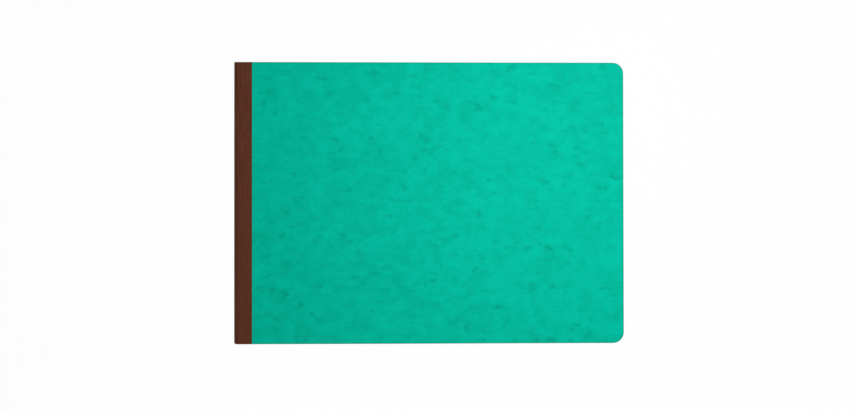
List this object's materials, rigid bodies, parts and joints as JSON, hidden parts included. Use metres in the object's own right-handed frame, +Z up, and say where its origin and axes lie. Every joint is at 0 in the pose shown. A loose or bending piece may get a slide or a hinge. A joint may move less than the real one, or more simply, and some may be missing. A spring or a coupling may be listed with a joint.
{
  "type": "columnar ledger book",
  "caption": "Landscape columnar ledger of ruled leaves in a mottled green pressboard cover, stapled through the fold, with a brown cloth tape round the spine. Covers and leaves turn.",
  "frame": {"origin": "centre of the closed book's base, on the surface that it lies on", "axes": "+X from the spine to the fore edge, +Y from tail to head, +Z up through the closed book"},
  "size_m": [0.377, 0.272, 0.0077],
  "materials": {
    "pressboard": "glossy mottled pressboard with darker fibres",
    "book_cloth": "fine woven book cloth, satin",
    "ledger_paper": "smooth uncoated ledger paper with printed column rules",
    "wire": "bright staple wire"
  },
  "bodies": {
    "back_cover": {"back_cover": "pressboard", "spine_tape_back": "book_cloth"},
    "leaves_36_40": {"leaf_36": "ledger_paper", "leaf_37": "ledger_paper", "leaf_38": "ledger_paper", "leaf_39": "ledger_paper", "leaf_40": "ledger_paper"},
    "leaves_31_35": {"leaf_31": "ledger_paper", "leaf_32": "ledger_paper", "leaf_33": "ledger_paper", "leaf_34": "ledger_paper", "leaf_35": "ledger_paper"},
    "leaves_26_30": {"leaf_26": "ledger_paper", "leaf_27": "ledger_paper", "leaf_28": "ledger_paper", "leaf_29": "ledger_paper", "leaf_30": "ledger_paper"},
    "leaves_21_25": {"leaf_21": "ledger_paper", "leaf_22": "ledger_paper", "leaf_23": "ledger_paper", "leaf_24": "ledger_paper", "leaf_25": "ledger_paper", "staples": "wire"},
    "leaves_16_20": {"leaf_16": "ledger_paper", "leaf_17": "ledger_paper", "leaf_18": "ledger_paper", "leaf_19": "ledger_paper", "leaf_20": "ledger_paper"},
    "leaves_11_15": {"leaf_11": "ledger_paper", "leaf_12": "ledger_paper", "leaf_13": "ledger_paper", "leaf_14": "ledger_paper", "leaf_15": "ledger_paper"},
    "leaves_06_10": {"leaf_06": "ledger_paper", "leaf_07": "ledger_paper", "leaf_08": "ledger_paper", "leaf_09": "ledger_paper", "leaf_10": "ledger_paper"},
    "leaves_01_05": {"leaf_01": "ledger_paper", "leaf_02": "ledger_paper", "leaf_03": "ledger_paper", "leaf_04": "ledger_paper", "leaf_05": "ledger_paper"},
    "front_cover": {"front_cover": "pressboard", "spine_tape_front": "book_cloth"}
  },
  "joints": [
    {"name": "back_cover_hinge", "type": "hinge", "parent": "back_cover", "child": "leaves_36_40", "pos_m": [-0.18855, 0, 0.00382], "axis": [0, -1, 0], "range_deg": [0, 180]},
    {"name": "opening_after_leaf_35", "type": "hinge", "parent": "leaves_36_40", "child": "leaves_31_35", "pos_m": [-0.18855, 0, 0.00382], "axis": [0, -1, 0], "range_deg": [0, 180]},
    {"name": "opening_after_leaf_30", "type": "hinge", "parent": "leaves_31_35", "child": "leaves_26_30", "pos_m": [-0.18855, 0, 0.00382], "axis": [0, -1, 0], "range_deg": [0, 180]},
    {"name": "opening_after_leaf_25", "type": "hinge", "parent": "leaves_26_30", "child": "leaves_21_25", "pos_m": [-0.18855, 0, 0.00382], "axis": [0, -1, 0], "range_deg": [0, 180]},
    {"name": "centre_hinge", "type": "hinge", "parent": "leaves_21_25", "child": "leaves_16_20", "pos_m": [-0.18855, 0, 0.00382], "axis": [0, -1, 0], "range_deg": [0, 180]},
    {"name": "opening_after_leaf_15", "type": "hinge", "parent": "leaves_16_20", "child": "leaves_11_15", "pos_m": [-0.18855, 0, 0.00382], "axis": [0, -1, 0], "range_deg": [0, 180]},
    {"name": "opening_after_leaf_10", "type": "hinge", "parent": "leaves_11_15", "child": "leaves_06_10", "pos_m": [-0.18855, 0, 0.00382], "axis": [0, -1, 0], "range_deg": [0, 180]},
    {"name": "opening_after_leaf_05", "type": "hinge", "parent": "leaves_06_10", "child": "leaves_01_05", "pos_m": [-0.18855, 0, 0.00382], "axis": [0, -1, 0], "range_deg": [0, 180]},
    {"name": "front_cover_hinge", "type": "hinge", "parent": "leaves_01_05", "child": "front_cover", "pos_m": [-0.18855, 0, 0.00382], "axis": [0, -1, 0], "range_deg": [0, 180]}
  ]
}
